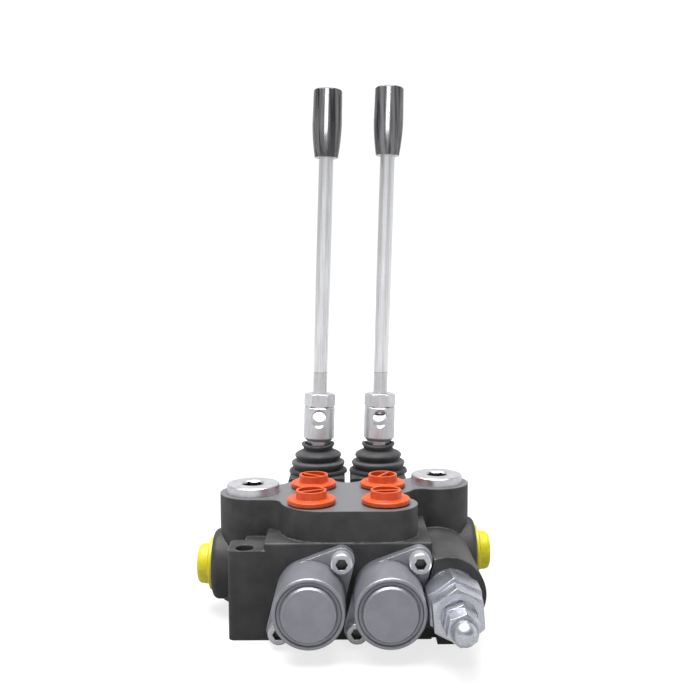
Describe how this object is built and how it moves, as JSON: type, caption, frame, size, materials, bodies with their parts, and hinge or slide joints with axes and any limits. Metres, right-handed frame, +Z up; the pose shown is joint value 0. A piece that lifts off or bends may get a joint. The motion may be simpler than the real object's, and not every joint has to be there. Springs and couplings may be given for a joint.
{
  "type": "hydraulic directional valve",
  "caption": "Monoblock hydraulic directional valve: cast body with spool spring caps in front, hand levers in rubber boots behind, capped ports on top and sides, and a relief valve.",
  "frame": {"origin": "on the flat mounting face, midway between the two spools and below the front pair of work ports", "axes": "+X to the right when facing the spring caps, +Y from the spring caps towards the levers, +Z up along the levers"},
  "size_m": [0.1522, 0.1917, 0.2817],
  "materials": {
    "body_paint": "matte charcoal paint over cast iron",
    "cast_aluminium": "bare die casting",
    "zinc_steel": "bright zinc plate",
    "chrome_steel": "bright zinc plate",
    "turned_steel": "turned and plated",
    "spool_steel": "ground and plated",
    "spring_wire": "drawn spring wire",
    "knob_plastic": "gloss black",
    "orange_plastic": "moulded polyethylene",
    "yellow_plastic": "translucent moulded polyethylene",
    "boot_rubber": "moulded rubber",
    "seal_rubber": "moulded rubber"
  },
  "bodies": {
    "root": {"valve_body": "body_paint", "lever_box_left": "body_paint", "lever_box_right": "body_paint", "spring_cap_left": "cast_aluminium", "spring_cap_right": "cast_aluminium", "cap_screws": "zinc_steel", "lever_box_screws": "zinc_steel", "front_spool_seals": "seal_rubber", "rear_spool_seals": "seal_rubber", "centring_spring_rear_left": "spring_wire", "centring_spring_rear_right": "spring_wire", "centring_spring_front_left": "spring_wire", "centring_spring_front_right": "spring_wire", "lever_pivot_pin_left": "zinc_steel", "lever_pivot_pin_right": "zinc_steel", "boot_left": "boot_rubber", "boot_right": "boot_rubber", "tank_port_plug": "turned_steel", "pressure_port_plug": "turned_steel", "plug_seals": "seal_rubber", "work_port_cap_front_left": "orange_plastic", "work_port_cap_front_right": "orange_plastic", "work_port_cap_rear_left": "orange_plastic", "work_port_cap_rear_right": "orange_plastic", "tank_side_cap": "yellow_plastic", "pressure_side_cap": "yellow_plastic", "relief_housing": "chrome_steel", "relief_seal": "seal_rubber", "relief_spring_cap": "chrome_steel", "relief_lock_nut": "chrome_steel", "relief_cap_nut": "chrome_steel", "relief_adjusting_screw": "zinc_steel", "relief_spring": "spring_wire", "check_spring": "spring_wire", "check_plug": "zinc_steel"},
    "left_lever": {"lever_arm_left": "zinc_steel", "lever_socket_left": "zinc_steel", "lever_lock_nut_left": "zinc_steel", "lever_rod_left": "zinc_steel", "lever_knob_left": "knob_plastic"},
    "right_lever": {"lever_arm_right": "zinc_steel", "lever_socket_right": "zinc_steel", "lever_lock_nut_right": "zinc_steel", "lever_rod_right": "zinc_steel", "lever_knob_right": "knob_plastic"},
    "left_spool": {"spool_left": "spool_steel", "spring_plate_left": "spool_steel", "spool_bolt_left": "zinc_steel"},
    "right_spool": {"spool_right": "spool_steel", "spring_plate_right": "spool_steel", "spool_bolt_right": "zinc_steel"},
    "relief_piston": {"relief_poppet": "spool_steel"},
    "check_piston": {"check_poppet": "spool_steel"}
  },
  "joints": [
    {"name": "left_lever_swing", "type": "hinge", "parent": "root", "child": "left_lever", "pos_m": [-0.018, 0.0987, 0.0475], "axis": [1, 0, 0], "range_deg": [-11.7, 11.7], "stiffness_Nm_per_rad": 6, "deforming": ["boot_left"]},
    {"name": "left_spool_slide", "type": "slide", "parent": "root", "child": "left_spool", "axis": [0, 1, 0], "range_m": [-0.005, 0.005], "deforming": ["centring_spring_rear_left", "centring_spring_front_left"]},
    {"name": "right_lever_swing", "type": "hinge", "parent": "root", "child": "right_lever", "pos_m": [0.018, 0.0987, 0.0475], "axis": [1, 0, 0], "range_deg": [-11.7, 11.7], "stiffness_Nm_per_rad": 6, "deforming": ["boot_right"]},
    {"name": "right_spool_slide", "type": "slide", "parent": "root", "child": "right_spool", "axis": [0, 1, 0], "range_m": [-0.005, 0.005], "deforming": ["centring_spring_rear_right", "centring_spring_front_right"]},
    {"name": "relief_lift", "type": "slide", "parent": "root", "child": "relief_piston", "axis": [0, -1, 0], "range_m": [0, 0.0015], "stiffness_N_per_m": 600, "springref_m": -0.002, "deforming": ["relief_spring"]},
    {"name": "check_lift", "type": "slide", "parent": "root", "child": "check_piston", "axis": [0, 0, -1], "range_m": [0, 0.0025], "stiffness_N_per_m": 200, "springref_m": -0.003, "deforming": ["check_spring"]}
  ],
  "couplings": [
    {"joint": "left_spool_slide", "follows": "left_lever_swing", "m_per_rad": 0.0243},
    {"joint": "right_spool_slide", "follows": "right_lever_swing", "m_per_rad": 0.0243}
  ]
}
